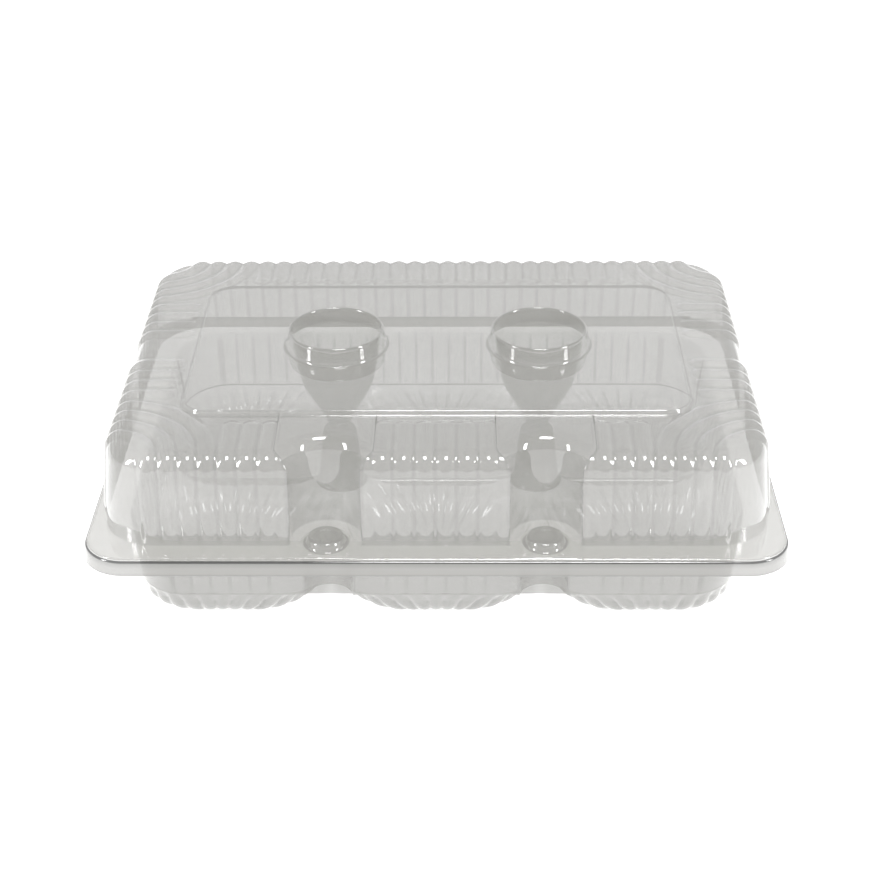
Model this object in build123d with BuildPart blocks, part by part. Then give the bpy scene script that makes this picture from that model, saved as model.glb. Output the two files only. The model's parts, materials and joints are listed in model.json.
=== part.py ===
from build123d import *
from math import radians, tan
import os

# Hinged six-cup carton, thermoformed from one clear sheet, shown closed.
# Millimetres, +Z up, +Y towards the hinge, origin on the table under the middle of the footprint.
# The tray carries the cups, the rim and its lip; the lid folds up and back about the rear edge.

# ---- driving dimensions -------------------------------------------------------------
sheet = 0.5  # formed wall thickness
joint_gap = 0.3  # air between the tray and the closed lid

overall_width = 320.0  # across the lip, along X
overall_depth = 244.0  # front lip to rear edge, along Y
tray_height = 46.5  # table to the top face of the tray flange
lid_height = 46.2  # hinge plane to the top face of the lid panel

lip_drop = 6.9  # skirt below the flange
lip_flare = 2.0  # how far the skirt leans out
rim_corner = 19.0  # corner radius of the flange

flange_side = 16.0  # tray flange left and right of the tub
flange_front = 16.0  # tray flange before and behind the tub
tub_draft = 5.0  # degrees
web_height = 15.0  # top face of the web between the cups
web_rail = 3.0  # width of the web between two cups
cup_corner = 24.0  # corner radius of a cup mouth
cup_pitch_x = 98.6
cup_pitch_y = 111.0
cup_floor_width = 80.0
cup_floor_depth = 85.0
cup_floor_corner = 27.0
cup_floor_edge = 6.0  # rounding between floor and side of a cup
post_foot_radius = 11.5
post_top_radius = 8.0
bay_post_foot_radius = 11.5  # half posts under the front bays
bay_post_top_radius = 11.0

lid_margin_side = 6.0  # lid flange left and right of the lid walls
lid_margin_front = 11.0  # lid flange before and behind the lid walls
lid_corner = 26.0  # corner radius of the lid walls at the flange
lid_draft = 4.8  # degrees
shoulder_radius = 8.0
panel_width = 233.0
panel_depth = 132.0
panel_corner = 12.0
panel_rise = 2.5
panel_draft = 30.0  # degrees, slope of the panel's edge

collar_height = 9.0  # stacking collar above the panel
collar_base_radius = 24.2
collar_crest_radius = 23.4
mouth_radius = 21.4
throat_radius = 20.6
throat_drop = 3.5  # throat below the panel
waist_radius = 18.0
waist_drop = 19.7  # waist below the panel
ankle_radius = 8.5
ankle_rise = 9.0  # ankle above the lid flange
pillar_foot_radius = 5.0

bay_radius = 16.0  # half-round bays in the front wall, at the flange
bay_lean = 0.5  # how much narrower a bay is at its top
bay_flare = 7.0  # rounded top edge of a bay
bay_inset = 5.5  # bay centres inside the foot of the front wall
bay_side = 1.0  # strip of smooth wall beside a bay

snap_inset = 14.1  # stud centres inside the front edge of the flange
snap_radius = 9.2
snap_height = 3.8
snap_draft = 20.0  # degrees

# ---- derived places -----------------------------------------------------------------
hinge_z = tray_height + joint_gap / 2
lid_base = tray_height + joint_gap
panel_top = hinge_z + lid_height
border_top = panel_top - panel_rise
collar_top = panel_top + collar_height
wall_top = border_top - shoulder_radius

rim_width = overall_width - 2 * lip_flare
rim_depth = overall_depth - 2 * lip_flare
leaf_length = rim_width - 2 * rim_corner

web_bottom = web_height - sheet
tub_width = rim_width - 2 * flange_side
tub_depth = rim_depth - 2 * flange_front
tub_slope = (tray_height - web_bottom) * tan(radians(tub_draft))
tub_corner = cup_corner + tub_slope
tub_base_x = tub_width / 2 - tub_slope
tub_base_y = tub_depth / 2 - tub_slope
tub_straight = tub_depth / 2 - tub_corner

lid_width = rim_width - 2 * lid_margin_side
lid_depth = rim_depth - 2 * lid_margin_front
lid_straight = lid_depth / 2 - lid_corner
bay_reach = bay_radius + bay_flare + bay_side
bay_y = bay_inset - lid_depth / 2
snap_y = snap_inset - rim_depth / 2

pillar_xs = {"left": -cup_pitch_x / 2, "right": cup_pitch_x / 2}
columns = {"left": -1, "centre": 0, "right": 1}
rows = {"front": -1, "back": 1}
beyond = 2 * overall_width  # longer than the carton, for cutting blocks

os.makedirs("parts", exist_ok=True)


def save(piece, name):
    """Labels one finished piece and writes it as its own file."""
    piece.label = name
    export_step(piece, f"parts/{name}.step")
    print(f"{name:24s} {piece.volume:9.1f} mm3, {len(piece.solids())} solid")


def block(low_x, high_x, low_y, high_y, low_z, high_z):
    """A cutting block between two corners."""
    with BuildPart() as cutter:
        with Locations(((low_x + high_x) / 2, (low_y + high_y) / 2, (low_z + high_z) / 2)):
            Box(high_x - low_x, high_y - low_y, high_z - low_z)
    return cutter.part


def mouth_span(column):
    """Low and high X of a cup's mouth, between the rails and the tub wall."""
    low = (column - 0.5) * cup_pitch_x + web_rail / 2
    high = (column + 0.5) * cup_pitch_x - web_rail / 2
    return max(low, -tub_base_x), min(high, tub_base_x)


def cup_form(column, row, inset):
    """The body of one cup, pulled in by inset at its floor and sides."""
    low_x, high_x = mouth_span(column)
    mouth_depth = tub_base_y - web_rail / 2
    mouth_y = row * (web_rail + mouth_depth) / 2
    with BuildPart() as form:
        with BuildSketch(Plane.XY.offset(inset)):
            with Locations((column * cup_pitch_x, row * cup_pitch_y / 2)):
                RectangleRounded(
                    cup_floor_width - 2 * inset,
                    cup_floor_depth - 2 * inset,
                    cup_floor_corner - inset,
                )
        with BuildSketch(Plane.XY.offset(web_bottom)):
            with Locations(((low_x + high_x) / 2, mouth_y)):
                RectangleRounded(
                    high_x - low_x - 2 * inset,
                    mouth_depth - 2 * inset,
                    cup_corner - inset,
                )
        loft(ruled=True)
        fillet(form.edges().group_by(Axis.Z)[0], cup_floor_edge - inset)
    return form.part


def cup_mouth(column, row):
    """The hole through the web over one cup."""
    low_x, high_x = mouth_span(column)
    mouth_depth = tub_base_y - web_rail / 2
    with BuildPart() as mouth:
        with BuildSketch(Plane.XY.offset(web_bottom)):
            with Locations(((low_x + high_x) / 2, row * (web_rail + mouth_depth) / 2)):
                RectangleRounded(
                    high_x - low_x - 2 * sheet,
                    mouth_depth - 2 * sheet,
                    cup_corner - sheet,
                )
        extrude(amount=sheet)
    return mouth.part


def tub_form(inset):
    """The tub above the cups, pulled in by inset at its sides and round the bay posts."""
    tub_rise = tray_height - web_bottom
    with BuildPart() as form:
        with BuildSketch(Plane.XY.offset(tray_height)):
            RectangleRounded(tub_width - 2 * inset, tub_depth - 2 * inset, tub_corner - inset)
        extrude(amount=tub_rise, dir=(0, 0, -1), taper=tub_draft)
        with Locations(*[(x, bay_y, web_bottom + tub_rise / 2) for x in pillar_xs.values()]):
            Cone(
                bay_post_foot_radius + inset,
                bay_post_top_radius + inset,
                tub_rise,
                mode=Mode.SUBTRACT,
            )
    return form.part


def bay_form(x, inset):
    """The air of one front bay, grown by inset, with the rounded edge at its top."""
    foot = bay_radius + inset
    top = bay_radius - bay_lean + inset
    flare = bay_flare - inset
    edge_z = border_top - bay_flare
    with BuildPart() as form:
        with BuildSketch(Plane((x, bay_y, 0), x_dir=(1, 0, 0), z_dir=(0, -1, 0))):
            with BuildLine():
                Polyline((0, border_top + bay_flare), (0, lid_base), (foot, lid_base), (top, edge_z))
                RadiusArc((top, edge_z), (top + flare, edge_z + flare), flare)
                Polyline(
                    (top + flare, edge_z + flare),
                    (top + flare, border_top + bay_flare),
                    (0, border_top + bay_flare),
                )
            make_face()
        revolve(axis=Axis((x, bay_y, 0), (0, 0, 1)))
    return form.part


def lid_form(inset):
    """The whole lid as a solid block, pulled in by inset on every face."""
    with BuildPart() as form:
        with BuildSketch(Plane.XY.offset(lid_base)):
            RectangleRounded(lid_width - 2 * inset, lid_depth - 2 * inset, lid_corner - inset)
        extrude(amount=border_top - inset - lid_base, taper=lid_draft)
        fillet(form.edges().group_by(Axis.Z)[-1], shoulder_radius - inset)
        with BuildSketch(Plane.XY.offset(border_top - inset)):
            RectangleRounded(panel_width - 2 * inset, panel_depth - 2 * inset, panel_corner - inset)
        extrude(amount=panel_rise, taper=panel_draft)
        for x in pillar_xs.values():
            add(bay_form(x, inset), mode=Mode.SUBTRACT)
    return form.part


def piece_of(skin, *regions, without=()):
    """The stretch of a formed skin inside the regions and outside those it goes without."""
    with BuildPart() as piece:
        add(skin)
        for region in regions:
            add(region, mode=Mode.INTERSECT)
        for region in without:
            add(region, mode=Mode.SUBTRACT)
    return piece.part


# ---- tray: cups, web, posts, walls, rim ---------------------------------------------
for row_name, row in rows.items():
    for column_name, column in columns.items():
        with BuildPart() as cup:
            add(cup_form(column, row, 0))
            add(cup_form(column, row, sheet), mode=Mode.SUBTRACT)
        save(cup.part, f"cup_{row_name}_{column_name}")

with BuildPart() as tray_web:
    add(tub_form(0))
    add(block(-beyond, beyond, -beyond, beyond, web_bottom, web_height), mode=Mode.INTERSECT)
    for row in rows.values():
        for column in columns.values():
            add(cup_mouth(column, row), mode=Mode.SUBTRACT)
    with Locations(*[(x, 0, web_height) for x in pillar_xs.values()]):
        Cylinder(post_foot_radius - sheet, 2 * web_height, mode=Mode.SUBTRACT)
save(tray_web.part, "tray_web")

post_rise = tray_height - web_height
for side, x in pillar_xs.items():
    with BuildPart() as post:
        with Locations((x, 0, web_height + post_rise / 2)):
            Cone(post_foot_radius, post_top_radius, post_rise)
        with Locations((x, 0, web_height + (post_rise - sheet) / 2)):
            Cone(
                post_foot_radius - sheet,
                post_top_radius - sheet,
                post_rise - sheet,
                mode=Mode.SUBTRACT,
            )
    save(post.part, f"tray_post_{side}")

with BuildPart() as tub_skin:
    add(tub_form(0))
    add(tub_form(sheet), mode=Mode.SUBTRACT)
tub_regions = {
    "front": (-beyond, beyond, -beyond, -tub_straight),
    "back": (-beyond, beyond, tub_straight, beyond),
    "left": (-beyond, 0, -tub_straight, tub_straight),
    "right": (0, beyond, -tub_straight, tub_straight),
}
for side, span in tub_regions.items():
    save(piece_of(tub_skin.part, block(*span, web_height, tray_height - sheet)), f"tray_wall_{side}")


def flange(low_z, opening, snap_hole_radius):
    """A flat rim plate with the opening of its half and the holes under its two snap studs."""
    with BuildPart() as plate:
        with BuildSketch(Plane.XY.offset(low_z)):
            RectangleRounded(rim_width, rim_depth, rim_corner)
        extrude(amount=sheet)
        add(opening, mode=Mode.SUBTRACT)
        with Locations(*[(x, snap_y, low_z) for x in pillar_xs.values()]):
            Cylinder(snap_hole_radius, 4 * sheet, mode=Mode.SUBTRACT)
    return plate.part


def snap_stud(x, low_z, radius, height):
    """A hollow tapered stud, open below."""
    with BuildPart() as stud:
        with BuildSketch(Plane.XY.offset(low_z)):
            with Locations((x, snap_y)):
                Circle(radius)
        extrude(amount=height, taper=snap_draft)
        fillet(stud.edges().group_by(Axis.Z)[-1], 2 * sheet)
        with BuildSketch(Plane.XY.offset(low_z)):
            with Locations((x, snap_y)):
                Circle(radius - sheet)
        extrude(amount=height - sheet, taper=snap_draft, mode=Mode.SUBTRACT)
    return stud.part


tray_snap_radius = snap_radius - sheet - 2 * joint_gap
lip_end = rim_depth / 2 - rim_corner
with BuildPart() as tray_lip:
    for inset, mode in ((0, Mode.ADD), (sheet, Mode.SUBTRACT)):
        with BuildSketch(Plane.XY.offset(tray_height - sheet)):
            RectangleRounded(rim_width - 2 * inset, rim_depth - 2 * inset, rim_corner - inset)
        with BuildSketch(Plane.XY.offset(tray_height - lip_drop)):
            RectangleRounded(
                overall_width - 2 * inset,
                overall_depth - 2 * inset,
                rim_corner + lip_flare - inset,
            )
        loft(ruled=True, mode=mode)
    add(block(-beyond, beyond, lip_end, beyond, 0, tray_height), mode=Mode.SUBTRACT)
save(tray_lip.part, "tray_lip")
save(flange(tray_height - sheet, tub_form(sheet), tray_snap_radius - sheet), "tray_rim")
for side, x in pillar_xs.items():
    save(snap_stud(x, tray_height, tray_snap_radius, snap_height - sheet), f"tray_snap_{side}")


def hinge_leaf(low_z):
    """A strip of the sheet behind a flange, up to the fold."""
    return block(-leaf_length / 2, leaf_length / 2, rim_depth / 2, overall_depth / 2, low_z, low_z + sheet)


save(hinge_leaf(tray_height - sheet), "tray_hinge_leaf")

# ---- lid: rim, walls, bays, border, panel, pillars ----------------------------------
save(flange(lid_base, lid_form(sheet), snap_radius - sheet), "lid_rim")
for side, x in pillar_xs.items():
    save(snap_stud(x, lid_base + sheet, snap_radius, snap_height), f"lid_snap_{side}")
save(hinge_leaf(lid_base), "lid_hinge_leaf")

with BuildPart() as lid_skin:
    add(lid_form(0))
    add(lid_form(sheet), mode=Mode.SUBTRACT)

wall_foot = lid_base + sheet
bay_blocks = {
    side: block(x - bay_reach, x + bay_reach, -beyond, bay_y + bay_reach, wall_foot, panel_top)
    for side, x in pillar_xs.items()
}
for side, region in bay_blocks.items():
    save(piece_of(lid_skin.part, region), f"lid_bay_{side}")

bay_inner_x = cup_pitch_x / 2 - bay_reach
bay_outer_x = cup_pitch_x / 2 + bay_reach
wall_regions = {
    "front_left": (-beyond, -bay_outer_x, -beyond, -lid_straight),
    "front_centre": (-bay_inner_x, bay_inner_x, -beyond, -lid_straight),
    "front_right": (bay_outer_x, beyond, -beyond, -lid_straight),
    "back": (-beyond, beyond, lid_straight, beyond),
    "left": (-beyond, 0, -lid_straight, lid_straight),
    "right": (0, beyond, -lid_straight, lid_straight),
}
for side, span in wall_regions.items():
    save(piece_of(lid_skin.part, block(*span, wall_foot, wall_top)), f"lid_wall_{side}")

with BuildPart() as panel_prism:
    with BuildSketch(Plane.XY.offset(wall_top)):
        RectangleRounded(panel_width, panel_depth, panel_corner)
    extrude(amount=2 * shoulder_radius)
with BuildPart() as pillar_holes:
    with Locations(*[(x, 0, panel_top) for x in pillar_xs.values()]):
        Cylinder(collar_base_radius, 4 * panel_rise)
border_regions = {
    "front": (-beyond, beyond, -beyond, -panel_depth / 2),
    "back": (-beyond, beyond, panel_depth / 2, beyond),
    "left": (-beyond, 0, -panel_depth / 2, panel_depth / 2),
    "right": (0, beyond, -panel_depth / 2, panel_depth / 2),
}
for side, span in border_regions.items():
    region = block(*span, wall_top, 2 * panel_top)
    cuts = [panel_prism.part, *bay_blocks.values()]
    save(piece_of(lid_skin.part, region, without=cuts), f"lid_border_{side}")
save(piece_of(lid_skin.part, panel_prism.part, without=[pillar_holes.part]), "lid_panel")

for side, x in pillar_xs.items():
    foot_z = wall_foot + sheet + joint_gap
    with BuildPart() as pillar:
        with BuildSketch(Plane((x, 0, 0), x_dir=(1, 0, 0), z_dir=(0, -1, 0))):
            with BuildLine():
                Polyline(
                    (collar_base_radius, panel_top - sheet),
                    (collar_crest_radius, collar_top),
                    (mouth_radius, collar_top),
                    (throat_radius, panel_top - throat_drop),
                    (waist_radius, panel_top - waist_drop),
                    (ankle_radius, lid_base + ankle_rise),
                    (pillar_foot_radius, foot_z),
                    (0, foot_z),
                )
                offset(amount=sheet, side=Side.LEFT)
            make_face()
        revolve(axis=Axis((x, 0, 0), (0, 0, 1)))
    save(pillar.part, f"lid_pillar_{side}")
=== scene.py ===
# %% [markdown]
# # A clear six-cup carton with a hinged lid
# The real carton is one thin clear sheet, heated and drawn over a mould, then folded shut along its
# rear edge. Nothing in it is thick: every cup, flute and pillar is the same skin bent another way.
# So this lesson builds skins, not solids. The solid model gives the sizes and the joint, and each
# piece here is a surface worked out on a grid of points that takes its place from that model.

# %% Load the solid model
import json

import bpy
import mathutils
import numpy as np
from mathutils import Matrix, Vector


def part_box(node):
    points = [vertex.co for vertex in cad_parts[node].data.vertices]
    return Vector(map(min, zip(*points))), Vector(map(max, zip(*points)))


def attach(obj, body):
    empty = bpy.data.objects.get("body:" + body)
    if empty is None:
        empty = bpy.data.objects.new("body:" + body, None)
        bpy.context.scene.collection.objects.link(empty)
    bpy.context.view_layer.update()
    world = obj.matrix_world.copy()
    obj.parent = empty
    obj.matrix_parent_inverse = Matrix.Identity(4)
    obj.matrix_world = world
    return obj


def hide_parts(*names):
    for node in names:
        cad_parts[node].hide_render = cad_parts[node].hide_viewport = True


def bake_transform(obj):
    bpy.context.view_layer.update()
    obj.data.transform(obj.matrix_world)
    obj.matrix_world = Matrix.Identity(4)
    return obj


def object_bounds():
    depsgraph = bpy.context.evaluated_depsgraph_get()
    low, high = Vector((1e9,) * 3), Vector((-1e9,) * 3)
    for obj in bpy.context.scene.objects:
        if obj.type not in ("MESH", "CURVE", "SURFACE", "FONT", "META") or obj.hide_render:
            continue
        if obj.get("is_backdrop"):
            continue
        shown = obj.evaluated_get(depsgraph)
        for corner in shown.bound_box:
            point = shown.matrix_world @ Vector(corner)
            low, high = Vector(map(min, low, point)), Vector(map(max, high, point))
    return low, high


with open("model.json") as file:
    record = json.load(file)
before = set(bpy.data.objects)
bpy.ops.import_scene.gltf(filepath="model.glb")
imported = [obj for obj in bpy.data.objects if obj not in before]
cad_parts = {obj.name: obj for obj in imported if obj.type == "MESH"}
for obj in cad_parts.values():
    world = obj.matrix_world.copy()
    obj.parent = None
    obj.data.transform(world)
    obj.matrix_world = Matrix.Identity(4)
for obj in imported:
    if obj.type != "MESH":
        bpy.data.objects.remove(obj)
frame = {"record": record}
cad_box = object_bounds()
mm = 0.001

# %% [markdown]
# ## Sizes
# The places that matter are read from the solid nodes, so the skins move with the model if it
# changes. The few sizes below them are the sizes of the flutes, which the solid model leaves out.


# %% Read the places of the tray and the lid
def corners(node):
    """The lowest and the highest corner of a solid node, as arrays."""
    low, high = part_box(node)
    return np.array(low), np.array(high)


rim_high = corners("lid_rim")[1]
tray_rim_high = corners("tray_rim")[1]
lip_low, lip_high = corners("tray_lip")
panel_high = corners("lid_panel")[1]
border_low, border_high = corners("lid_border_right")
pillar_low, pillar_high = corners("lid_pillar_right")
bay_high = corners("lid_bay_right")[1]
web_high = corners("tray_web")[1]
tub_low, tub_high = corners("tray_wall_back")

wall_x = corners("lid_wall_right")[1][0]
wall_y = corners("lid_wall_back")[1][1]
wall_corner = wall_y - corners("lid_wall_back")[0][1]
wall_foot = rim_high[2]
wall_top = border_low[2]
border_top = border_high[2]
panel_top = panel_high[2]
pillar_x = (pillar_low[0] + pillar_high[0]) / 2
print("lid wall half sizes, mm:", round(wall_x / mm, 1), round(wall_y / mm, 1))

# %% [markdown]
# ## A skin from a grid
# A grid of points, rows by columns, is all that a skin needs. Numpy holds the whole grid, so a
# shape is one formula instead of a loop, and neighbouring points make the faces. A grid whose
# columns run all the way round closes on itself, so there's no seam. Each point also keeps how
# sharply the skin bends there, so that the material can paint shade along its folds. Part-clear
# skins darken each other when they are stacked, so only the cups cast a shadow or count in
# diffuse light. That is a setting for renders alone: an exported mesh doesn't carry it.


# %% Turn grids into a mesh
soft_bend = 0.12  # radians of turn per millimetre that start to show
sharp_bend = 0.67  # and those that show fully
least_step = 0.35  # millimetres; closer points count as this far apart


def outward(grid, closed=True):
    """Unit normals of a grid, square to the directions of its columns and its rows."""
    if closed:
        along = np.roll(grid, -1, axis=1) - np.roll(grid, 1, axis=1)
    else:
        along = np.gradient(grid, axis=1)
    across = np.gradient(grid, axis=0)
    normal = np.cross(along, across)
    return normal / np.maximum(np.linalg.norm(normal, axis=-1, keepdims=True), 1e-12)


def bend_of(grid, closed):
    """How sharply the skin bends at each point: the turn of its normal per millimetre, 0 to 1."""
    normal = outward(grid, closed)
    sharpest = np.zeros(grid.shape[:2])
    for axis in (0, 1):
        wrap = closed and axis == 1
        for shift in (1, -1):
            turned_by = np.linalg.norm(normal - np.roll(normal, shift, axis=axis), axis=-1)
            apart = np.linalg.norm(grid - np.roll(grid, shift, axis=axis), axis=-1) / mm
            rate = turned_by / np.maximum(apart, least_step)
            if not wrap:
                edge = 0 if shift == 1 else -1
                rate[(edge,) if axis == 0 else (slice(None), edge)] = 0
            sharpest = np.maximum(sharpest, rate)
    return np.clip((sharpest - soft_bend) / (sharp_bend - soft_bend), 0, 1)


def skin(name, grids, closed=True, flip=False, casts=False):
    """One object from grids of points: faces join each point to its next row and column.

    flip turns the faces round, and casts lets the skin shade what is round it.
    """
    points, faces, bends, start = [], [], [], 0
    for grid in grids:
        rows, columns = grid.shape[:2]
        index = start + np.arange(rows * columns).reshape(rows, columns)
        here = index if closed else index[:, :-1]
        beside = np.roll(index, -1, axis=1) if closed else index[:, 1:]
        quads = np.stack([here[:-1], beside[:-1], beside[1:], here[1:]], axis=-1).reshape(-1, 4)
        faces.append(quads[:, ::-1] if flip else quads)
        points.append(grid.reshape(-1, 3))
        bends.append(bend_of(grid, closed).reshape(-1))
        start += rows * columns
    mesh = bpy.data.meshes.new(name)
    mesh.from_pydata(np.concatenate(points), [], np.concatenate(faces))
    mesh.update()
    mesh.shade_smooth()
    bend = mesh.attributes.new("bend", "FLOAT", "POINT")
    bend.data.foreach_set("value", np.concatenate(bends).astype(np.float32))
    piece = bpy.data.objects.new(name, mesh)
    bpy.context.scene.collection.objects.link(piece)
    piece.visible_shadow = casts
    piece.visible_diffuse = casts
    print(name, len(mesh.polygons), "faces")
    return piece


def walk(points, count):
    """So many points evenly spaced along a line of points, its last point left out."""
    points = np.asarray(points, float)
    steps = np.linalg.norm(np.diff(points, axis=0), axis=1)
    travelled = np.concatenate([[0], np.cumsum(steps)])
    stops = np.linspace(0, travelled[-1], count, endpoint=False)
    return np.stack([np.interp(stops, travelled, points[:, k]) for k in (0, 1)], axis=-1)


def turn(centre, radius, start, end, steps=48):
    """Points of an arc about a centre, from one angle to another in degrees."""
    angle = np.radians(np.linspace(start, end, steps))
    return np.stack([centre[0] + radius * np.cos(angle), centre[1] + radius * np.sin(angle)], axis=-1)


# %% [markdown]
# ## Outlines of the lid
# Seen from above the lid is a rounded rectangle with two half-round bays in its front, where a
# finger presses the studs. Going up the wall the outline leans in and the bays stay, so one
# function gives the outline for any amount of lean. It walks the right half, stretch by stretch,
# with a fixed count of points for each stretch, and mirrors it. Equal counts are what lets two
# outlines be joined by straight rows of faces.

# %% Choose the counts and the turning points
corner_x = wall_x - wall_corner
corner_y = wall_y - wall_corner
panel_corner = 12 * mm
panel_turn_x = panel_high[0] - panel_corner
panel_turn_y = panel_high[1] - panel_corner
step_run = 1.2 * mm
step_lift = 0.4 * mm
centre_flutes = 27.4 * mm
outer_flutes = 71.4 * mm
bay_radius = 16 * mm
bay_flare = 7 * mm
bay_side = 1 * mm
bay_y = bay_high[1] - bay_radius - bay_flare - bay_side
counts = {
    "centre": 34,
    "beside": 6,
    "bay": 84,
    "outside": 6,
    "front": 42,
    "front_turn": 27,
    "corner": 46,
    "side_turn": 36,
    "side": 132,
    "back": 126,
}
print("longest stretch of columns:", max(counts, key=counts.get), max(counts.values()))


def mirrored(half):
    """The whole outline from its right half: back along the left side in reverse."""
    half = np.concatenate(half)
    left = half[-2:0:-1] * (-1, 1)
    return np.concatenate([half, left])


def bay_line(front, radius):
    """Points of the right bay from its inner to its outer edge: straight sides and a half circle."""
    if front < bay_y:
        arc = turn((pillar_x, bay_y), radius, 180, 0, 90)
        return np.concatenate([[(pillar_x - radius, front)], arc, [(pillar_x + radius, front)]])
    start = np.degrees(np.arcsin((front - bay_y) / radius))
    return turn((pillar_x, bay_y), radius, 180 - start, start, 90)


def lid_outline(inset, radius):
    """The outline of the lid's wall where it has leaned in by inset and its bays have this radius."""
    half_x, half_y, round_by = wall_x - inset, wall_y - inset, wall_corner - inset
    bay = bay_line(-half_y, radius)
    half = [
        walk([(0, -half_y), (centre_flutes, -half_y)], counts["centre"]),
        walk([(centre_flutes, -half_y), bay[0]], counts["beside"]),
        walk(bay, counts["bay"]),
        walk([bay[-1], (outer_flutes, -half_y)], counts["outside"]),
        walk([(outer_flutes, -half_y), (panel_turn_x, -half_y)], counts["front"]),
        walk([(panel_turn_x, -half_y), (corner_x, -half_y)], counts["front_turn"]),
        walk(turn((corner_x, -corner_y), round_by, -90, 0), counts["corner"]),
        walk([(half_x, -corner_y), (half_x, -panel_turn_y)], counts["side_turn"]),
        walk([(half_x, -panel_turn_y), (half_x, panel_turn_y)], counts["side"]),
        walk([(half_x, panel_turn_y), (half_x, corner_y)], counts["side_turn"]),
        walk(turn((corner_x, corner_y), round_by, 0, 90), counts["corner"]),
        walk([(corner_x, half_y), (panel_turn_x, half_y)], counts["front_turn"]),
        walk([(panel_turn_x, half_y), (0, half_y)], counts["back"]),
        [(0, half_y)],
    ]
    return mirrored(half)


def even_outline(half_x, half_y, round_by, front_x):
    """A plain rounded rectangle with the lid's columns; front_x are the columns' own X at its front."""
    turn_x, turn_y = half_x - round_by, half_y - round_by
    bend = counts["front_turn"] + counts["corner"] + counts["side_turn"]
    front_bend = np.concatenate(
        [
            [(panel_turn_x, -half_y)],
            turn((turn_x, -turn_y), round_by, -90, 0),
            [(half_x, -panel_turn_y)],
        ]
    )
    half = [
        np.stack([front_x, np.full(len(front_x), -half_y)], axis=-1),
        walk(front_bend, bend),
        walk([(half_x, -panel_turn_y), (half_x, panel_turn_y)], counts["side"]),
        walk(front_bend[::-1] * (1, -1), bend),
        walk([(panel_turn_x, half_y), (0, half_y)], counts["back"]),
        [(0, half_y)],
    ]
    return mirrored(half)


# %% [markdown]
# ## Flutes
# The lid's flutes are soft half-round ribs side by side, so that thin sheet stands stiff. They
# climb the wall, roll over the shoulder and end on the lid's border in round heads. At each
# corner they curve from the front to the side in quarter circles. The height of the skin above
# its plain shape is therefore a function of where a point lies, seen from above: the cosine of
# its distance from the middle of its own rib, which leaves a round crest and a sharp valley.

# %% Write the height of the ribs
rib_pitch = 8.8 * mm
rib_depth = 1.7 * mm
ring_x = wall_x - 4 * mm
ring_y = wall_y - 7 * mm
first_ring = 16 * mm
last_ring = first_ring + 4 * rib_pitch
side_smooth = 11 * mm
side_pitch = (ring_y - side_smooth - last_ring) / 4
front_last = first_ring + 7 * rib_pitch
centre_pitch = 9.4 * mm


def crest(travel, pitch, past_head):
    """Height of a rib, 1 at its crest: travel counts ribs across, past_head runs beyond its end."""
    across = (np.mod(travel, 1) - 0.5) * pitch
    distance = np.hypot(across, np.maximum(past_head, 0))
    return np.cos(np.pi / 2 * np.minimum(distance / (pitch / 2), 1))


def lid_ribs(x, y):
    """Height of the lid's ribs from 0 to 1 over points seen from above."""
    from_x = np.maximum(ring_x - np.abs(x), 0)
    from_y = np.maximum(ring_y - np.abs(y), 0)
    ring = np.hypot(from_x, from_y)
    rings = crest((ring - first_ring) / rib_pitch, rib_pitch, 0)
    rings = np.where((ring > first_ring) & (ring < last_ring), rings, 0)
    end_head = from_y - (ring_y - panel_high[1] - 6 * mm - rib_pitch / 2)
    side_head = from_x - (ring_x - panel_high[0] - 4.5 * mm - side_pitch / 2)
    ends = crest((from_x - first_ring) / rib_pitch, rib_pitch, end_head)
    middle = crest((3 * centre_pitch - np.abs(x)) / centre_pitch, centre_pitch, end_head)
    front = np.where(from_x < front_last, ends, np.where(np.abs(x) < 3 * centre_pitch, middle, 0))
    ends = np.where(y < 0, front, ends)
    sides = crest((from_y - last_ring) / side_pitch, side_pitch, side_head)
    sides = np.where(np.abs(y) > side_smooth, sides, 0)
    return np.where(from_y > last_ring, sides, np.where(from_x > last_ring, ends, rings))


# %% [markdown]
# ## The lid's walls and border
# A profile is carried round the outline: up the leaning wall, over a quarter-round shoulder and
# in across the border to the step of the raised panel. Each row is one outline at its own
# height. When the plain skin stands, every point moves out along its normal by the rib height.
# Bending the ribs this way keeps their depth even where the skin turns from upright to flat.

# %% Carry the profile round the lid
shoulder = border_top - wall_top
lean = 3.5 * mm
fade_height = 4 * mm  # the flutes grow to full depth over this much of the wall


def level(outline, height):
    """An outline lifted to a height, one height for all its points or one each."""
    return np.column_stack([outline, np.broadcast_to(height, len(outline))])


wall_rows = [
    level(lid_outline(lean * part, bay_radius), wall_foot + part * (wall_top - wall_foot))
    for part in np.linspace(0, 1, 12, endpoint=False)
]
for angle in np.radians(np.linspace(0, 90, 10)):
    rolled = 1 - np.cos(angle)
    wall_rows.append(
        level(
            lid_outline(lean + shoulder * rolled, bay_radius + bay_flare * rolled),
            wall_top + shoulder * np.sin(angle),
        )
    )
shoulder_end = wall_rows[-1]
front_columns = sum(counts[key] for key in ("centre", "beside", "bay", "outside", "front"))
front_x = shoulder_end[:front_columns, 0]


def panel_outline(grow):
    """The panel's outline grown by so much, with the wall's columns."""
    return even_outline(panel_high[0] + grow, panel_high[1] + grow, panel_corner + grow, front_x)


step_foot = panel_outline(step_run)
step_z = border_top + step_lift
for part in np.linspace(0, 1, 36)[1:]:
    row = shoulder_end[:, :2] * (1 - part) + step_foot * part
    wall_rows.append(level(row, border_top + step_lift * part))
for part in np.linspace(0, 1, 6)[1:]:
    row = panel_outline(step_run * (1 - part))
    wall_rows.append(level(row, step_z + (panel_top - step_z) * np.sin(part * np.pi / 2)))
plain_wall = np.stack(wall_rows)

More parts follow.
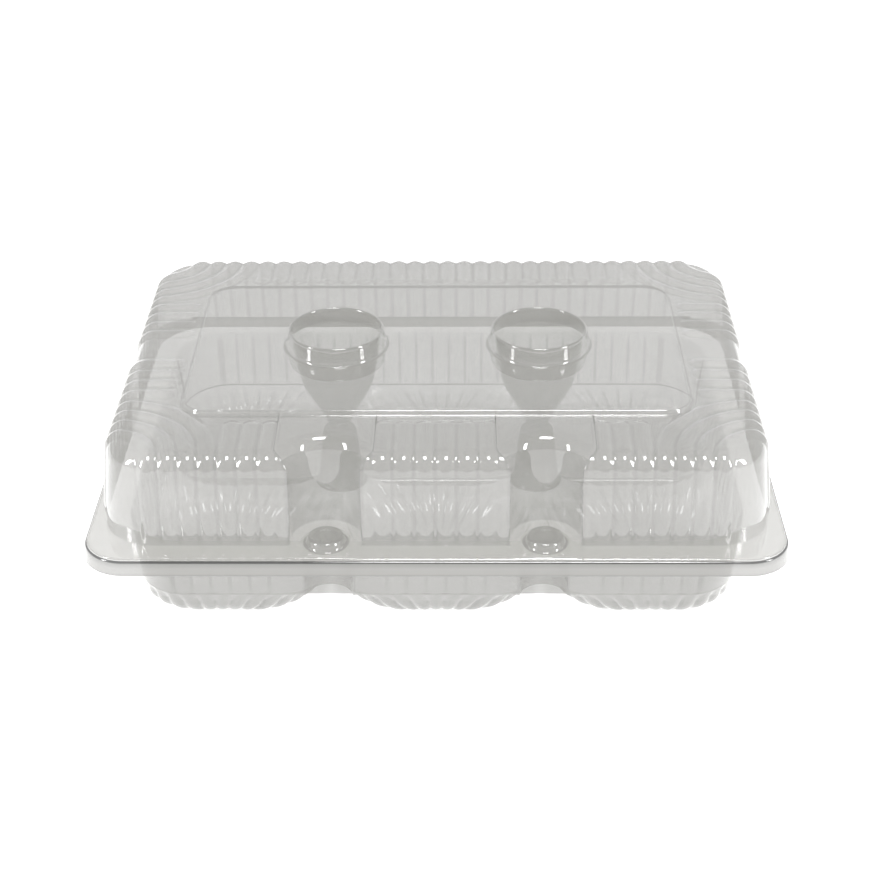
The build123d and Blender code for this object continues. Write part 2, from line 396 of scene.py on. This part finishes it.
ribs = lid_ribs(plain_wall[..., 0], plain_wall[..., 1])
ribs[-6:] = 0  # the step up to the panel stays plain
foot_fade = np.clip((plain_wall[..., 2] - wall_foot) / fade_height, 0, 1)
flat_fade = np.clip((plain_wall[..., 2] - wall_top) / shoulder, 0, 1)
depth = rib_depth * foot_fade * (1 - 0.25 * flat_fade)
fluted_wall = plain_wall + outward(plain_wall) * (ribs * depth)[..., None]
lid_wall = skin("lid_wall_skin", [fluted_wall])

# %% [markdown]
# ## The lid's flange
# The flange is the flat edge that closes on the tray. It uses the same columns as the wall, so
# the two skins meet point for point, with a soft fold where the wall starts.

# %% Lay the flange flat
foot = plain_wall[0]
rim_corner = 19 * mm
rim_front_x = foot[:front_columns, 0].copy()
bay_start = counts["centre"] + counts["beside"]
bay_span = slice(bay_start, bay_start + counts["bay"])
rim_front_x[bay_span] = np.linspace(pillar_x - bay_radius, pillar_x + bay_radius, counts["bay"])
rim_line = even_outline(rim_high[0], rim_high[1], rim_corner, rim_front_x)
edge_drop = 0.6 * mm
rim_rows = [level(rim_line, rim_high[2] - edge_drop)]
for part in np.linspace(0, 1, 9):
    sag = edge_drop / 2 * np.exp(-part * 14)
    row = rim_line * (1 - part) + foot[:, :2] * part
    rim_rows.append(level(row, rim_high[2] - sag))
lid_rim = skin("lid_rim_skin", [np.stack(rim_rows)])

# %% [markdown]
# ## The raised panel
# The panel is a rounded rectangle with two round holes for the pillars, a shape that no single
# grid of rows and columns covers. Cut down the middle, each half has one hole, and a grid that
# runs round the hole fits it: its inner row is the circle, its outer row the half's outline at
# the same bearing from the hole's centre.

# %% Spread the panel round its two holes
collar_radius = (pillar_high[0] - pillar_low[0]) / 2
bearings = np.linspace(-np.pi, np.pi, 240, endpoint=False)


def half_panel(side):
    """Rows from the half panel's outline in to the foot of its collar; side is 1 or -1."""
    edge = np.concatenate(
        [
            [(0, -panel_high[1])],
            turn((panel_turn_x, -panel_turn_y), panel_corner, -90, 0),
            turn((panel_turn_x, panel_turn_y), panel_corner, 0, 90),
            [(0, panel_high[1]), (0, -panel_high[1])],
        ]
    )
    edge = walk(edge, 4000)
    bearing = np.arctan2(edge[:, 1], edge[:, 0] - pillar_x)
    order = np.argsort(bearing)
    outer = np.stack(
        [np.interp(bearings, bearing[order], edge[order, k], period=2 * np.pi) for k in (0, 1)], axis=-1
    )
    inner = [pillar_x + collar_radius * np.cos(bearings), collar_radius * np.sin(bearings)]
    inner = np.stack(inner, axis=-1)
    rows = [level(outer * (1 - part) + inner * part, panel_top) for part in np.linspace(0, 1, 14)]
    grid = np.stack(rows)
    return grid if side > 0 else grid[:, ::-1] * (-1, 1, 1)


lid_panel = skin("lid_panel_skin", [half_panel(1), half_panel(-1)])

# %% [markdown]
# ## The pillars
# Each pillar is a round funnel that drops from the panel to the tray and keeps a stacked load
# off the cakes or eggs. A thin collar stands round its mouth. Every part of it is round, so a
# profile turned about the pillar's axis gives the skin: radius and height for each row.


# %% Turn a profile about an upright axis
def turned(profile, x, y, columns=144, rounding=3):
    """Rows of a profile of radius and height turned about an upright axis, its corners softened."""
    profile = np.array(profile)
    for _ in range(rounding):
        cut = np.empty((2 * len(profile) - 2, 2))
        cut[0::2] = profile[:-1] * 0.75 + profile[1:] * 0.25
        cut[1::2] = profile[:-1] * 0.25 + profile[1:] * 0.75
        profile = np.concatenate([profile[:1], cut, profile[-1:]])
    angle = np.linspace(0, 2 * np.pi, columns, endpoint=False)
    radius, height = profile[:, :1], profile[:, 1:]
    return np.stack(
        [x + radius * np.cos(angle), y + radius * np.sin(angle), height + 0 * angle], axis=-1
    )


collar_top = pillar_high[2]
pillar_foot = pillar_low[2]
pillar_profile = [
    (collar_radius + 1.6 * mm, panel_top),
    (collar_radius, panel_top + 0.2 * mm),
    (collar_radius - 0.7 * mm, collar_top - 1.2 * mm),
    (collar_radius - 1.6 * mm, collar_top),
    (collar_radius - 2.6 * mm, collar_top - 1.0 * mm),
    (collar_radius - 3.4 * mm, panel_top - 3 * mm),
    (18.0 * mm, panel_top - 19.7 * mm),
    (13.2 * mm, panel_top - 28.6 * mm),
    (8.5 * mm, wall_foot + 9 * mm),
    (5.4 * mm, pillar_foot + 1.2 * mm),
    (3.6 * mm, pillar_foot),
    (0, pillar_foot),
]
pillars = {
    side: skin(f"lid_pillar_skin_{side}", [turned(pillar_profile, x, 0)])
    for side, x in (("left", -pillar_x), ("right", pillar_x))
}

# %% [markdown]
# ## The press studs
# Two low studs on each half snap into each other in front of the bays. They are turned too, the
# tray's a little narrower than the lid's so that one nests in the other.

# %% Turn the studs
def stud_profile(radius, low, high):
    """A soft-edged dome from its foot at the flange to its closed top."""
    return [
        (radius + 1.2 * mm, low),
        (radius, low + 0.2 * mm),
        (radius - 0.9 * mm, high - 0.9 * mm),
        (radius - 1.7 * mm, high),
        (radius * 0.55, high - 0.1 * mm),
        (radius * 0.45, high - 0.7 * mm),
        (0, high - 0.8 * mm),
    ]


studs = {}
for half in ("lid", "tray"):
    for side in ("left", "right"):
        low, high = corners(f"{half}_snap_{side}")
        middle = (low + high) / 2
        profile = stud_profile((high[0] - low[0]) / 2, low[2], high[2])
        rows = turned(profile, middle[0], middle[1], 64, 2)
        studs[f"{half}_snap_{side}"] = skin(f"{half}_snap_skin_{side}", [rows])

# %% [markdown]
# ## The tray's flange and lip
# The tray's flange has the same outline as the lid's. Beyond it the sheet turns down into a
# narrow lip, which stiffens the edge and gives a finger something to pull. The lip leans
# outwards and stops at the fold, so its skin is an open strip that fades out at both ends.

# %% Lay the tray's flange round the tub
tub_x = corners("tray_wall_right")[1][0]
tub_y = tub_high[1]
tub_corner = tub_y - tub_low[1]
tub_foot = web_high[2]
tub_lean = tub_x - web_high[0]
flange_top = tray_rim_high[2]
post_radius = 11.2 * mm
tub_counts = {"front": 96, "post": 40, "outside": 88, "corner": 48, "side": 170, "back": 224}


def tub_outline(inset):
    """The outline of the tray's tub, its half-round posts standing in from the front wall."""
    half_x, half_y, round_by = tub_x - inset, tub_y - inset, tub_corner - inset
    turn_x, turn_y = half_x - round_by, half_y - round_by
    start = np.degrees(np.arcsin(np.clip((bay_y + half_y) / post_radius, -1, 1)))
    post = turn((pillar_x, bay_y), post_radius, 180 + start, -start, 90)
    half = [
        walk([(0, -half_y), (post[0][0], -half_y)], tub_counts["front"] // 2),
        walk(post, tub_counts["post"]),
        walk([(post[-1][0], -half_y), (turn_x, -half_y)], tub_counts["outside"]),
        walk(turn((turn_x, -turn_y), round_by, -90, 0), tub_counts["corner"]),
        walk([(half_x, -turn_y), (half_x, turn_y)], tub_counts["side"]),
        walk(turn((turn_x, turn_y), round_by, 0, 90), tub_counts["corner"]),
        walk([(turn_x, half_y), (0, half_y)], tub_counts["back"]),
        [(0, half_y)],
    ]
    return mirrored(half)


def tub_frame(half_x, half_y, round_by):
    """A plain rounded rectangle with the same columns as the tub."""
    turn_x, turn_y = half_x - round_by, half_y - round_by
    straight = tub_counts["front"] // 2 + tub_counts["post"] + tub_counts["outside"]
    half = [
        walk([(0, -half_y), (turn_x, -half_y)], straight),
        walk(turn((turn_x, -turn_y), round_by, -90, 0), tub_counts["corner"]),
        walk([(half_x, -turn_y), (half_x, turn_y)], tub_counts["side"]),
        walk(turn((turn_x, turn_y), round_by, 0, 90), tub_counts["corner"]),
        walk([(turn_x, half_y), (0, half_y)], tub_counts["back"]),
        [(0, half_y)],
    ]
    return mirrored(half)


opening = tub_outline(0)
tray_edge = tub_frame(tray_rim_high[0], tray_rim_high[1], rim_corner)
land_z = flange_top - 0.1 * mm
tray_rows = [
    level(opening * (1 - part) + tray_edge * part, land_z) for part in np.linspace(0, 1, 8)
]
tray_rim = skin("tray_rim_skin", [np.stack(tray_rows)], flip=True)

lip_start = np.argmax(tray_edge[:, 1] > lip_high[1])
lip_stop = len(tray_edge) - lip_start
lip_columns = np.concatenate([np.arange(lip_stop, len(tray_edge)), np.arange(lip_start + 1)])
from_end = np.minimum(np.arange(len(lip_columns)), np.arange(len(lip_columns))[::-1])
lip_fade = np.sin(np.clip(from_end / 24, 0, 1) * (np.pi / 2))
lip_flare = lip_high[0] - tray_rim_high[0]
lip_drop = flange_top - lip_low[2]
lip_profile = [  # share of the flare, and millimetres down, from the flange to the lip's edge
    (0, 0.1),
    (0.30, 0.25),
    (0.42, 0.6),
    (0.5, 1.2),
    (0.72, 3.4),
    (0.93, 5.6),
    (1.0, 6.4),
    (1.0, 6.9),
]
lip_rows = []
for out, down in lip_profile:
    grow = out * lip_flare
    row = tub_frame(tray_rim_high[0] + grow, tray_rim_high[1] + grow, rim_corner + grow)
    row = tray_edge[lip_columns] * (1 - lip_fade[:, None]) + row[lip_columns] * lip_fade[:, None]
    lip_rows.append(level(row, flange_top - down / lip_profile[-1][1] * lip_drop * lip_fade))
tray_lip = skin("tray_lip_skin", [np.stack(lip_rows)], closed=False, flip=True)

# %% [markdown]
# ## The tub and the cups
# Below the flange one fluted wall goes round all the cups. Near the bottom the cups part: each is
# a rounded square bowl with flutes up its side, and low ridges join them. A bowl's rows shrink
# from its mouth to the middle of its floor, on a profile that rounds the lower edge. The crests
# of these flutes stay where the solid wall is and their valleys lie inside it. They fade at the
# mouth and under the floor, so the ridges and the floors stay smooth.

# %% Carry the tub's wall down to the web
tub_pitch = 9.0 * mm
tub_depth = 1.4 * mm
tub_steps = 16
tub_rows = [
    level(tub_outline(tub_lean * part), land_z - part * (flange_top - tub_foot))
    for part in np.linspace(0, 1, tub_steps)
]
plain_tub = np.stack(tub_rows)
at_x, at_y = plain_tub[..., 0], plain_tub[..., 1]
on_side = np.abs(at_y) < tub_y - tub_corner
travel = np.where(on_side, at_y, at_x) / tub_pitch + 0.5
tub_ribs = crest(travel, tub_pitch, 0)
corner_smooth = 6 * mm
post_smooth = 22 * mm
near_corner = (np.abs(at_x) > tub_x - tub_corner + corner_smooth) & ~on_side
near_post = (np.hypot(np.abs(at_x) - pillar_x, at_y - bay_y) < post_smooth) & (at_y < 0)
tub_ribs = np.where(near_corner | near_post, 1, tub_ribs)
end_fade = np.sin(np.linspace(0, np.pi, tub_steps)) ** 0.5
valleys = (tub_ribs - 1) * tub_depth * end_fade[:, None]
fluted_tub = plain_tub - outward(plain_tub) * valleys[..., None]
tray_wall = skin("tray_wall_skin", [fluted_tub], flip=True)

# %% Draw the six cups
straight_columns = 44
corner_columns = 40
side_rows = 11
edge_rows = 9
floor_rows = 15
mouth_corner = 24 * mm
floor_corner = 27 * mm
floor_edge = 9 * mm
floor_z = 0.25 * mm
half_floor = np.array((80, 85)) * mm / 2
floor_y = 55.5 * mm
cup_pitch = 7.8 * mm
cup_depth = 1.3 * mm
ring_place = 0.36  # share of the way in from the floor's edge
ring_width = 0.03
ring_height = 0.35 * mm


def cup_outline(low, high, round_by):
    """A rounded rectangle between two corners, with one radius or one for each corner."""
    radii = np.broadcast_to(round_by, 4)
    tips = [(high[0], low[1]), (high[0], high[1]), (low[0], high[1]), (low[0], low[1])]
    signs = [(-1, 1), (-1, -1), (1, -1), (1, 1)]
    centres = [np.array(c) + np.array(s) * r for c, s, r in zip(tips, signs, radii)]
    arcs = [turn(c, r, -90 + 90 * k, 90 * k) for k, (c, r) in enumerate(zip(centres, radii))]
    line = []
    for k, arc in enumerate(arcs):
        line.append(walk(arc, corner_columns))
        line.append(walk([arc[-1], arcs[(k + 1) % 4][0]], straight_columns))
    return np.concatenate(line)


def cup_rows(low, high, middle, mouth_z):
    """Rows of a bowl from its mouth down its side and across its floor to the middle.

    The side blends the mouth's outline into the floor's in step with its height, the lower edge
    pulls it in on a quarter circle, and a faint ring stands on the floor.
    """
    mouth = cup_outline(low, high, mouth_corner)
    floor = cup_outline(middle - half_floor, middle + half_floor, floor_corner)
    height = mouth_z - floor_z
    rows = []
    for part in np.linspace(0, 1, side_rows, endpoint=False):
        z = mouth_z + (floor_z + floor_edge - mouth_z) * part
        share = (mouth_z - z) / height
        rows.append(level(mouth * (1 - share) + floor * share, z))
    for angle in np.radians(np.linspace(0, 90, edge_rows)):
        above = floor_edge * (1 - np.sin(angle))
        share = (height - above) / height
        wall = mouth * (1 - share) + floor * share
        reach = np.linalg.norm(wall - middle, axis=1)
        pull = 1 - floor_edge * (1 - np.cos(angle)) / reach
        rows.append(level(middle + (wall - middle) * pull[:, None], floor_z + above))
    edge = rows[-1][:, :2]
    for part in np.linspace(0, 1, floor_rows + 1)[1:]:
        ring = ring_height * np.exp(-(((part - ring_place) / ring_width) ** 2))
        rows.append(level(edge * (1 - part) + middle * part, floor_z + ring))
    return np.stack(rows)


flute_fade = np.concatenate(
    [np.linspace(0, 1, side_rows), np.linspace(1, 0.25, edge_rows), np.zeros(floor_rows)]
)
cups = {}
for row_name, row in (("front", -1), ("back", 1)):
    for column_name, column in (("left", -1), ("centre", 0), ("right", 1)):
        name = f"cup_{row_name}_{column_name}"
        low, high = corners(name)
        middle = np.array((2 * column * pillar_x, row * floor_y))
        grid = cup_rows(low[:2], high[:2], middle, web_high[2])
        girth = grid[side_rows - 1]
        steps = np.linalg.norm(np.diff(girth, axis=0, append=girth[:1]), axis=1)
        flutes = round(steps.sum() / cup_pitch)
        ribs = crest(np.cumsum(steps) / steps.sum() * flutes, cup_pitch, 0)
        push = -outward(grid) * ((ribs - 1) * flute_fade[:, None] * cup_depth)[..., None]
        push[..., 2] = np.maximum(push[..., 2], 0)
        cups[name] = skin(name + "_skin", [grid + push], flip=True, casts=True)

# %% [markdown]
# ## The web, the posts and the fold
# The web is the flat land between the mouths of the cups, one ring of faces for each cup from its
# mouth out to the middle of the ridge. Two cones rise from it to carry the pillars' feet. At the
# rear a narrow strip folds over from the tray to the lid: it is the hinge. Its skin is drawn shut
# and doesn't bend as the lid opens.

# %% Close the web between the cups
half_rail = 1.5 * mm
sharp_corner = 0.4 * mm
ridge = np.array((0, 0.5, 0.8, 0.8)) * mm
web_grids = []
for row_name, row in (("front", -1), ("back", 1)):
    for column_name, column in (("left", -1), ("centre", 0), ("right", 1)):
        low, high = (corner[:2] for corner in corners(f"cup_{row_name}_{column_name}"))
        cell_low = low - half_rail * np.array((column > -1, row > 0))
        cell_high = high + half_rail * np.array((column < 1, row < 0))
        outer_corners = ((-1, 1), (1, 1), (1, -1), (-1, -1))
        turns = [mouth_corner if place == (row, column) else sharp_corner for place in outer_corners]
        mouth, cell = cup_outline(low, high, mouth_corner), cup_outline(cell_low, cell_high, turns)
        rows = [
            level(mouth * (1 - part) + cell * part, web_high[2] + lift)
            for part, lift in zip(np.linspace(0, 1, len(ridge)), ridge)
        ]
        web_grids.append(np.stack(rows))
tray_web = skin("tray_web_skin", web_grids)

# %% Raise the posts
posts = {}
for side in ("left", "right"):
    low, high = corners(f"tray_post_{side}")
    radius = (high[0] - low[0]) / 2
    profile = [
        (radius + 1.5 * mm, low[2] + 0.7 * mm),
        (radius, low[2] + 1.6 * mm),
        (8.6 * mm, high[2] - 2 * mm),
        (7.4 * mm, high[2]),
        (3.4 * mm, high[2]),
        (2.6 * mm, high[2] - 1.5 * mm),
        (0, high[2] - 1.6 * mm),
    ]
    posts[side] = skin(f"tray_post_skin_{side}", [turned(profile, (low[0] + high[0]) / 2, 0, 96, 2)])

# %% Fold the hinge strip
hinge = frame["record"]["behaviour"]["joints"][0]["pos_m"]
leaf_low, leaf_high = corners("tray_hinge_leaf")
half_sheet = 0.25 * mm
lap = 0.3 * mm  # how far the strip reaches under each flange
fold_y = hinge[1]
half_gap = rim_high[2] - half_sheet - hinge[2]
flat_end, bend_start = leaf_low[1] - lap, fold_y - half_gap
round_fold = turn((bend_start, 0), half_gap, -75, 75, 11)
fold = np.array(
    [
        (flat_end, -half_gap),
        (bend_start, -half_gap),
        *round_fold,
        (bend_start, half_gap),
        (flat_end, half_gap),
    ]
)
strip_x = np.linspace(leaf_low[0], leaf_high[0], 120)
strip = np.stack(np.broadcast_arrays(strip_x, fold[:, :1], hinge[2] + fold[:, 1:]), axis=-1)
hinge_strip = skin("hinge_strip_skin", [strip], closed=False, flip=True)

# %% [markdown]
# ## Pieces and bodies
# Every skin stands for the solid nodes it covers, and all but the fold ride on the body those nodes
# belong to. The fold belongs to both bodies, so it stays where it is, tied to neither.

# %% Put each skin on its body
tray_pieces = {
    tray_rim: ["tray_rim"],
    tray_lip: ["tray_lip"],
    tray_wall: ["tray_wall_front", "tray_wall_back", "tray_wall_left", "tray_wall_right"],
    tray_web: ["tray_web"],
}
tray_pieces.update({piece: [name] for name, piece in cups.items()})
tray_pieces.update({piece: [f"tray_post_{side}"] for side, piece in posts.items()})
lid_pieces = {
    lid_rim: ["lid_rim"],
    lid_panel: ["lid_panel"],
    lid_wall: ["lid_bay_left", "lid_bay_right"]
    + [f"lid_border_{side}" for side in ("front", "back", "left", "right")]
    + [f"lid_wall_front_{side}" for side in ("left", "centre", "right")]
    + [f"lid_wall_{side}" for side in ("back", "left", "right")],
}
lid_pieces.update({piece: [f"lid_pillar_{side}"] for side, piece in pillars.items()})
for name, piece in studs.items():
    (lid_pieces if name.startswith("lid") else tray_pieces)[piece] = [name]
for body, pieces in (("tray", tray_pieces), ("lid", lid_pieces)):
    for piece, nodes in pieces.items():
        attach(piece, body)
        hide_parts(*nodes)
blend_reach = half_gap * 0.9
hinge[2] - blend_reach
hinge[2] + blend_reach
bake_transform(hinge_strip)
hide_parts("tray_hinge_leaf", "lid_hinge_leaf")
print("pieces:", len(tray_pieces) + len(lid_pieces) + 1)

# %% [markdown]
# ## Shader maths in Python
# Node trees grow long when every sum is a node placed by hand. One small class wraps a socket, so
# that a sum or product of sockets reads as Python and adds its own Math nodes.

# %% A socket that can be added and multiplied
class Value:
    """A node's output that can stand in sums, differences, products and powers."""

    def __init__(self, tree, socket):
        self.tree, self.socket = tree, socket

    def maths(self, operation, first, second):
        """One Math node between two values or numbers."""
        return add_node(self.tree, "ShaderNodeMath", {"operation": operation}, {0: first, 1: second})

    def __add__(self, other):
        return self.maths("ADD", self, other)

    def __sub__(self, other):
        return self.maths("SUBTRACT", self, other)

    def __rsub__(self, other):
        return self.maths("SUBTRACT", other, self)

    def __mul__(self, other):
        return self.maths("MULTIPLY", self, other)

    def __pow__(self, other):
        return self.maths("POWER", self, other)

    __radd__ = __add__
    __rmul__ = __mul__


def add_node(tree, kind, settings=None, sockets=None, output=0):
    """A node of a kind, its settings first and then its sockets' values or links; gives one output."""
    node = tree.nodes.new(kind)
    for key, value in (settings or {}).items():
        setattr(node, key, value)
    for key, value in (sockets or {}).items():
        if isinstance(value, Value):
            tree.links.new(value.socket, node.inputs[key])
        else:
            node.inputs[key].default_value = value
    return Value(tree, node.outputs[output]) if node.outputs else None


# %% [markdown]
# ## The clear sheet
# Through clear sheet, what is behind comes greyer with each skin passed. Glass in a renderer would
# bend light as a solid block does, and a skin has no inside. So the sheet is a grey plastic that is
# part clear: its Alpha rises where the skin is seen edge on, where it folds and where the forming
# left it cloudy. Where it folds, its colour also turns towards a darker tint: painted shade along
# the folds. Faint flow ripples go to the bump, so that reflections break up, and a clear coat
# keeps the highlights crisp. The two flat flanges come out darker than the walls in this light, so
# they are given a paler tint: painted light. The lip's fold is given a nearly black one, painted
# shade that draws a thin dark line along the edge. Both tints are chosen and don't come from the
# plastic.

# %% Mix the clear sheet
def clear_sheet(name, tint, fold_shade_tint, thin, edge, fold=0.4):
    """A glossy clear skin: thin is its Alpha face on, edge is added edge on.

    Folds take the fold shade tint by the share given as fold: painted shade along the folds.
    """
    material = bpy.data.materials.new(name)
    material.use_nodes = True
    tree = material.node_tree
    tree.nodes.clear()
    place = add_node(tree, "ShaderNodeTexCoord", output="Object")
    cloud = add_node(tree, "ShaderNodeTexNoise", {}, {"Vector": place, "Scale": 14.0, "Detail": 3.0})
    ripple = add_node(tree, "ShaderNodeTexNoise", {}, {"Vector": place, "Scale": 90.0, "Detail": 2.0})
    scuff = add_node(tree, "ShaderNodeTexNoise", {}, {"Vector": place, "Scale": 420.0, "Detail": 2.0})
    facing = add_node(tree, "ShaderNodeLayerWeight", {}, {"Blend": 0.5}, output="Facing")
    bend = add_node(tree, "ShaderNodeAttribute", {"attribute_name": "bend"}, output="Fac")
    alpha = thin + edge * facing**2.2 + 0.10 * (cloud - 0.5) + 0.10 * bend
    alpha = alpha.maths("MINIMUM", alpha, 0.97)
    rough = 0.05 + 0.09 * (scuff**2)
    # Painted shade: where the skin bends, its colour moves towards the darker fold shade tint.
    colour = add_node(
        tree,
        "ShaderNodeMix",
        {"data_type": "RGBA"},
        {"Factor": bend * fold, 6: (*tint, 1), 7: (*fold_shade_tint, 1)},
        output=2,
    )
    bump = add_node(
        tree, "ShaderNodeBump", {}, {"Height": ripple, "Strength": 0.12, "Distance": 0.6 * mm}
    )
    plastic = add_node(
        tree,
        "ShaderNodeBsdfPrincipled",
        {},
        {
            "Base Color": colour,
            "Roughness": rough,
            "IOR": 1.5,
            "Specular IOR Level": 1.0,
            "Coat Weight": 1.0,
            "Coat Roughness": 0.03,
            "Alpha": alpha,
            "Normal": bump,
        },
    )
    add_node(tree, "ShaderNodeOutputMaterial", {}, {"Surface": plastic})
    return material


# The second colour of each sheet is its fold shade tint, painted shade along the folds.
lid_sheet = clear_sheet(
    "lid_clear_sheet", (0.200, 0.198, 0.186), (0.145, 0.143, 0.135), thin=0.62, edge=0.26
)
tray_sheet = clear_sheet(
    "tray_clear_sheet", (0.205, 0.203, 0.191), (0.13, 0.129, 0.121), thin=0.62, edge=0.26
)
# Painted light: the flanges' paler tint lifts them where this light leaves them darker than the walls.
rim_sheet = clear_sheet(
    "rim_clear_sheet", (0.300, 0.297, 0.280), (0.14, 0.139, 0.131), thin=0.55, edge=0.30
)
# Painted shade: the lip's nearly black fold tint draws a thin dark line along its fold.
lip_sheet = clear_sheet(
    "lip_clear_sheet", (0.185, 0.183, 0.172), (0.012, 0.012, 0.011), thin=0.84, edge=0.12, fold=1.0
)
for piece in tray_pieces:
    piece.data.materials.append({tray_lip: lip_sheet, tray_rim: rim_sheet}.get(piece, tray_sheet))
for piece in [*lid_pieces, hinge_strip]:
    piece.data.materials.append(rim_sheet if piece is lid_rim else lid_sheet)
print("materials:", lid_sheet.name, tray_sheet.name, rim_sheet.name, lip_sheet.name)

# %% [markdown]
# ## Floor, light and camera
# A clear thing shows what surrounds it, so the studio is white and plain: a pale floor that glows a
# little to keep shadows faint, an even sky, and a few bright panels whose reflections draw the
# crisp lines along flutes and edges.

# %% Light the studio
scene = bpy.context.scene
scene.view_settings.view_transform = "Standard"
floor_mesh = bpy.data.meshes.new("floor")
reach = 6.0
floor_corners = [(-reach, -reach, 0), (reach, -reach, 0), (reach, reach, 0), (-reach, reach, 0)]
floor_mesh.from_pydata(floor_corners, [], [(0, 1, 2, 3)])
floor = bpy.data.objects.new("floor", floor_mesh)
scene.collection.objects.link(floor)
floor.location.z = -0.3 * mm
paper = bpy.data.materials.new("pale_floor")
paper.use_nodes = True
paper_shader = paper.node_tree.nodes["Principled BSDF"]
paper_shader.inputs["Base Color"].default_value = (0.8, 0.8, 0.8, 1)
paper_shader.inputs["Roughness"].default_value = 0.9
paper_shader.inputs["Emission Color"].default_value = (1, 1, 1, 1)
paper_shader.inputs["Emission Strength"].default_value = 0.40
floor_mesh.materials.append(paper)
floor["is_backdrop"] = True

world = bpy.data.worlds.new("studio")
scene.world = world
world.use_nodes = True
tree = world.node_tree
tree.nodes.clear()
seen = add_node(tree, "ShaderNodeLightPath", output="Is Camera Ray")
strength = 0.86 + 0.18 * seen
glow = add_node(tree, "ShaderNodeBackground", {}, {"Color": (1, 1, 1, 1), "Strength": strength})
add_node(tree, "ShaderNodeOutputWorld", {}, {"Surface": glow})


def panel_light(name, place, width, depth, power):
    """A rectangular lamp at a place, turned to shine at the carton."""
    lamp = bpy.data.lights.new(name, "AREA")
    lamp.shape = "RECTANGLE"
    lamp.size, lamp.size_y, lamp.energy = width, depth, power
    light = bpy.data.objects.new(name, lamp)
    light.location = place
    direction = np.array(carton_middle) - np.array(place)
    light.rotation_euler = mathutils.Vector(direction).to_track_quat("-Z", "Y").to_euler()
    scene.collection.objects.link(light)


carton_middle = (0, 0, 0.05)
panel_light("left_panel", (-1.35, -0.72, 0.76), 0.24, 0.90, 13)
panel_light("right_panel", (1.35, -0.72, 0.76), 0.24, 0.90, 13)
panel_light("top_panel", (0.1, -0.5, 1.6), 0.50, 0.50, 16)

# %% Stand the camera
camera_data = bpy.data.cameras.new("camera")
camera = bpy.data.objects.new("camera", camera_data)
camera.location = np.array((12.13, -783.90, 496.38)) * mm
aim = mathutils.Vector(np.array((-1.17, 0, 40.84)) * mm)
look = (aim - camera.location).to_track_quat("-Z", "Y")
tilt = mathutils.Quaternion((0, 0, 1), np.radians(-0.52))
camera.rotation_euler = (look @ tilt).to_euler()
camera_data.sensor_width = 36
camera_data.lens = 74.56
scene.collection.objects.link(camera)
scene.camera = camera
scene.cycles.transparent_max_bounces = 32
print("camera stands", round(camera.location.length, 3), "m from the origin")

# %% Print the boxes of the solid model and the skins
boxes = {"cad": cad_box, "visual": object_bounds()}
boxes = {name: [list(map(float, corner)) for corner in box] for name, box in boxes.items()}
print("boxes, metres:", boxes)
